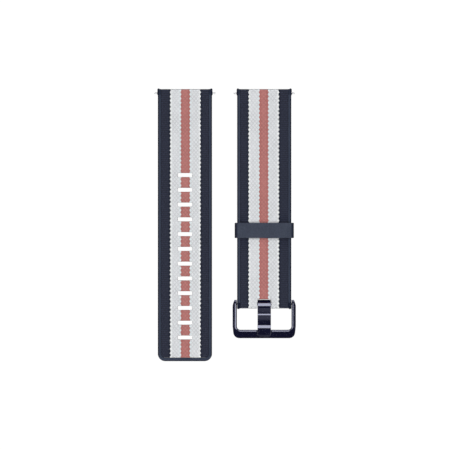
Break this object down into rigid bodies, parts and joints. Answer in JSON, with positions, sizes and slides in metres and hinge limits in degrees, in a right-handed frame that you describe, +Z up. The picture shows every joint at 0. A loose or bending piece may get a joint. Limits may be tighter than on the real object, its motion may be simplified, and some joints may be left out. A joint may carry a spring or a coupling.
{
  "type": "fitness tracker band",
  "caption": "Two-piece woven and elastomer band with slotted strap, pin buckle, sliding keeper and quick-release pins.",
  "frame": {"origin": "under the middle of the band, on the surface it lies on", "axes": "+X across the straps towards the buckle strap, +Y along them towards the tracker ends, +Z up out of the woven face"},
  "size_m": [0.0576, 0.1108, 0.0062],
  "materials": {
    "elastomer": "soft matte navy",
    "keeper_elastomer": "fine-grained matte navy",
    "webbing": "woven stripes of navy, white and rose",
    "anodised": "gloss dark navy",
    "pin_steel": "drawn stainless",
    "spring_wire": "bright wire"
  },
  "bodies": {
    "hole_strap": {"hole_strap_backing": "elastomer", "hole_strap_webbing": "webbing", "hole_strap_pin_tube": "pin_steel", "hole_strap_pin_fixed_tip": "pin_steel", "hole_strap_pin_spring": "spring_wire"},
    "hole_strap_release": {"hole_strap_pin_release_tip": "pin_steel", "hole_strap_pin_release_knob": "pin_steel"},
    "buckle_strap": {"buckle_strap_backing": "elastomer", "buckle_strap_webbing": "webbing", "buckle_strap_pin_tube": "pin_steel", "buckle_strap_pin_fixed_tip": "pin_steel", "buckle_strap_pin_spring": "spring_wire", "buckle_bar_tube": "pin_steel", "buckle_bar_spring": "spring_wire"},
    "buckle_strap_release": {"buckle_strap_pin_release_tip": "pin_steel", "buckle_strap_pin_release_knob": "pin_steel"},
    "bar_left": {"buckle_bar_left_tip": "pin_steel"},
    "bar_right": {"buckle_bar_right_tip": "pin_steel"},
    "frame": {"buckle_frame": "anodised"},
    "tang": {"buckle_tang": "anodised"},
    "keeper": {"keeper_loop": "keeper_elastomer"}
  },
  "joints": [
    {"name": "halves_apart", "type": "slide", "parent": "hole_strap", "child": "buckle_strap", "axis": [1, 0, 0], "range_m": [-0.005, 0.03]},
    {"name": "hole_strap_release_slide", "type": "slide", "parent": "hole_strap", "child": "hole_strap_release", "axis": [-1, 0, 0], "range_m": [0, 0.0013], "stiffness_N_per_m": 200, "springref_m": -0.001, "deforming": ["hole_strap_pin_spring"]},
    {"name": "buckle_strap_release_slide", "type": "slide", "parent": "buckle_strap", "child": "buckle_strap_release", "axis": [-1, 0, 0], "range_m": [0, 0.0013], "stiffness_N_per_m": 200, "springref_m": -0.001, "deforming": ["buckle_strap_pin_spring"]},
    {"name": "bar_left_slide", "type": "slide", "parent": "buckle_strap", "child": "bar_left", "axis": [1, 0, 0], "range_m": [0, 0.0008], "stiffness_N_per_m": 200, "springref_m": -0.001, "deforming": ["buckle_bar_spring"]},
    {"name": "bar_right_slide", "type": "slide", "parent": "buckle_strap", "child": "bar_right", "axis": [-1, 0, 0], "range_m": [0, 0.0008], "stiffness_N_per_m": 200, "springref_m": -0.001, "deforming": ["buckle_bar_spring"]},
    {"name": "frame_hinge", "type": "hinge", "parent": "buckle_strap", "child": "frame", "pos_m": [0.01593, -0.0322, 0.0018], "axis": [-1, 0, 0], "range_deg": [-80, 15]},
    {"name": "tang_hinge", "type": "hinge", "parent": "frame", "child": "tang", "pos_m": [0.01593, -0.0322, 0.0018], "axis": [-1, 0, 0], "range_deg": [0, 75]},
    {"name": "keeper_slide", "type": "slide", "parent": "buckle_strap", "child": "keeper", "axis": [0, 1, 0], "range_m": [-0.0215, 0.047]}
  ]
}
